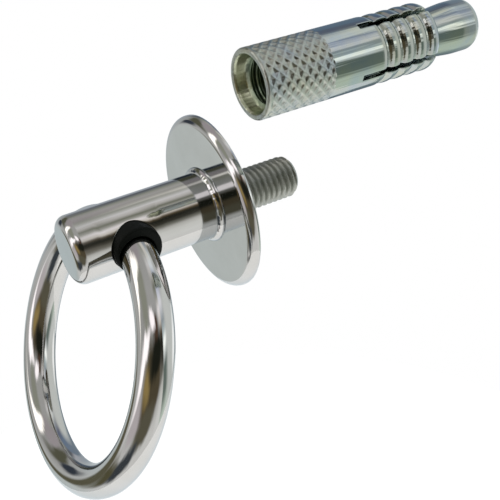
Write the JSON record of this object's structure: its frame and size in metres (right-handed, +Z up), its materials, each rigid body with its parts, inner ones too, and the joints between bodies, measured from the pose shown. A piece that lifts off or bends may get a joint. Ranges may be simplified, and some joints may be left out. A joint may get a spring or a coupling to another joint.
{
  "type": "roof anchor",
  "caption": "Ring bolt with a loose ring in rubber bushes, a round flange and a threaded stud, with its slotted expansion sleeve and cone plug.",
  "frame": {"origin": "centre of the flange's back face, where the bolt's axis meets the wall", "axes": "+X along the bolt from the ring towards the wall and the stud's end, +Z up, so that the ring hangs towards -Z"},
  "size_m": [0.1202, 0.0804, 0.1201],
  "materials": {
    "polished_steel": "mirror-polished stainless steel",
    "thread_steel": "rolled stainless thread, satin",
    "zinc_steel": "bright zinc plating with a faint yellow-green tint",
    "bush_rubber": "matte black rubber"
  },
  "bodies": {
    "ring_bolt": {"eye_rod": "polished_steel", "flange_plate": "polished_steel", "weld_fillet": "polished_steel", "threaded_stud": "thread_steel"},
    "bushes": {"bush_near": "bush_rubber", "bush_far": "bush_rubber"},
    "ring": {"ring": "polished_steel"},
    "anchor_sleeve": {"anchor_sleeve": "zinc_steel"},
    "cone_plug": {"cone_plug": "zinc_steel"},
    "finger_1": {"finger_1": "zinc_steel"},
    "finger_2": {"finger_2": "zinc_steel"},
    "finger_3": {"finger_3": "zinc_steel"},
    "finger_4": {"finger_4": "zinc_steel"}
  },
  "joints": [
    {"name": "ring_swing", "type": "hinge", "parent": "ring_bolt", "child": "bushes", "pos_m": [-0.02775, 0, 0], "axis": [0, 1, 0], "range_deg": [-43, 172]},
    {"name": "ring_spin", "type": "hinge", "parent": "bushes", "child": "ring", "pos_m": [-0.0426, 0, -0.0315], "axis": [0.9045, 0, -0.4264], "continuous": true},
    {"name": "anchor_offer_up", "type": "slide", "parent": "ring_bolt", "child": "anchor_sleeve", "axis": [0.6163, 0.4676, -0.6336], "range_m": [0, 0.06928]},
    {"name": "cone_plug_drive", "type": "slide", "parent": "anchor_sleeve", "child": "cone_plug", "axis": [-1, 0, 0], "range_m": [0, 0.008]},
    {"name": "finger_1_open", "type": "hinge", "parent": "anchor_sleeve", "child": "finger_1", "pos_m": [0.0228, -0.02982, 0.04997], "axis": [0, -0.9205, 0.3907], "range_deg": [0, 3.1]},
    {"name": "finger_2_open", "type": "hinge", "parent": "anchor_sleeve", "child": "finger_2", "pos_m": [0.0228, -0.03848, 0.04648], "axis": [0, -0.3907, -0.9205], "range_deg": [0, 3.1]},
    {"name": "finger_3_open", "type": "hinge", "parent": "anchor_sleeve", "child": "finger_3", "pos_m": [0.0228, -0.03498, 0.03782], "axis": [0, 0.9205, -0.3907], "range_deg": [0, 3.1]},
    {"name": "finger_4_open", "type": "hinge", "parent": "anchor_sleeve", "child": "finger_4", "pos_m": [0.0228, -0.02633, 0.04132], "axis": [0, 0.3907, 0.9205], "range_deg": [0, 3.1]}
  ],
  "couplings": [
    {"joint": "finger_1_open", "follows": "cone_plug_drive", "rad_per_m": 6.5},
    {"joint": "finger_2_open", "follows": "cone_plug_drive", "rad_per_m": 6.5},
    {"joint": "finger_3_open", "follows": "cone_plug_drive", "rad_per_m": 6.5},
    {"joint": "finger_4_open", "follows": "cone_plug_drive", "rad_per_m": 6.5}
  ]
}
